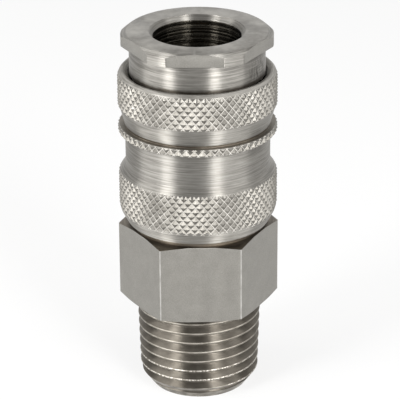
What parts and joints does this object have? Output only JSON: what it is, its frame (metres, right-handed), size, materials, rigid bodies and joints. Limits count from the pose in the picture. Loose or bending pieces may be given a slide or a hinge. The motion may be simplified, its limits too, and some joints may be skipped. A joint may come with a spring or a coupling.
{
  "type": "pneumatic quick coupling",
  "caption": "One-touch ball-lock socket for an air line: knurled sleeve that snaps over the plug, shut-off valve inside, hexagon and male taper pipe thread behind.",
  "frame": {"origin": "centre of the end face of the male thread, on the axis", "axes": "+Z along the axis towards the plug mouth, a flat of the hexagon faces -Y"},
  "size_m": [0.0274, 0.027, 0.0646],
  "materials": {
    "turned_steel": "turned, matt",
    "knurled_steel": "turned, matt, with rolled diamond knurls",
    "hexagon_steel": "drawn flats, turned ends and thread",
    "ball_steel": "polished",
    "spring_steel": "drawn wire",
    "valve_brass": "turned",
    "seal_rubber": "matt"
  },
  "bodies": {
    "socket_body": {"adapter": "hexagon_steel", "front_body": "turned_steel", "plug_seal": "seal_rubber", "body_seal": "seal_rubber"},
    "spring_carriage": {"spring_washer": "spring_steel", "sleeve_spring": "spring_steel"},
    "sleeve_body": {"sleeve": "knurled_steel"},
    "valve": {"valve_piston": "valve_brass", "valve_head": "valve_brass", "valve_seal": "seal_rubber", "valve_spring": "spring_steel"},
    "ball_1": {"locking_ball_1": "ball_steel"},
    "ball_2": {"locking_ball_2": "ball_steel"},
    "ball_3": {"locking_ball_3": "ball_steel"},
    "ball_4": {"locking_ball_4": "ball_steel"},
    "ball_5": {"locking_ball_5": "ball_steel"},
    "ball_6": {"locking_ball_6": "ball_steel"},
    "ball_7": {"locking_ball_7": "ball_steel"},
    "ball_8": {"locking_ball_8": "ball_steel"}
  },
  "joints": [
    {"name": "sleeve_slide", "type": "slide", "parent": "socket_body", "child": "spring_carriage", "axis": [0, 0, 1], "range_m": [0, 0.0042], "deforming": ["sleeve_spring"]},
    {"name": "sleeve_turn", "type": "hinge", "parent": "spring_carriage", "child": "sleeve_body", "pos_m": [0, 0, 0.045], "axis": [0, 0, 1], "continuous": true},
    {"name": "ball_1_slide", "type": "slide", "parent": "socket_body", "child": "ball_1", "axis": [-0.9239, -0.3827, 0], "range_m": [0, 0.0009]},
    {"name": "ball_2_slide", "type": "slide", "parent": "socket_body", "child": "ball_2", "axis": [-0.3827, -0.9239, 0], "range_m": [0, 0.0009]},
    {"name": "ball_3_slide", "type": "slide", "parent": "socket_body", "child": "ball_3", "axis": [0.3827, -0.9239, 0], "range_m": [0, 0.0009]},
    {"name": "ball_4_slide", "type": "slide", "parent": "socket_body", "child": "ball_4", "axis": [0.9239, -0.3827, 0], "range_m": [0, 0.0009]},
    {"name": "ball_5_slide", "type": "slide", "parent": "socket_body", "child": "ball_5", "axis": [0.9239, 0.3827, 0], "range_m": [0, 0.0009]},
    {"name": "ball_6_slide", "type": "slide", "parent": "socket_body", "child": "ball_6", "axis": [0.3827, 0.9239, 0], "range_m": [0, 0.0009]},
    {"name": "ball_7_slide", "type": "slide", "parent": "socket_body", "child": "ball_7", "axis": [-0.3827, 0.9239, 0], "range_m": [0, 0.0009]},
    {"name": "ball_8_slide", "type": "slide", "parent": "socket_body", "child": "ball_8", "axis": [-0.9239, 0.3827, 0], "range_m": [0, 0.0009]},
    {"name": "valve_slide", "type": "slide", "parent": "socket_body", "child": "valve", "axis": [0, 0, -1], "range_m": [0, 0.006], "stiffness_N_per_m": 150, "springref_m": -0.002, "deforming": ["valve_spring"]}
  ],
  "couplings": [
    {"joint": "ball_1_slide", "follows": "sleeve_slide", "ratio": 0.21429},
    {"joint": "ball_2_slide", "follows": "sleeve_slide", "ratio": 0.21429},
    {"joint": "ball_3_slide", "follows": "sleeve_slide", "ratio": 0.21429},
    {"joint": "ball_4_slide", "follows": "sleeve_slide", "ratio": 0.21429},
    {"joint": "ball_5_slide", "follows": "sleeve_slide", "ratio": 0.21429},
    {"joint": "ball_6_slide", "follows": "sleeve_slide", "ratio": 0.21429},
    {"joint": "ball_7_slide", "follows": "sleeve_slide", "ratio": 0.21429},
    {"joint": "ball_8_slide", "follows": "sleeve_slide", "ratio": 0.21429},
    {"joint": "valve_slide", "follows": "sleeve_slide", "ratio": 1.4286}
  ]
}
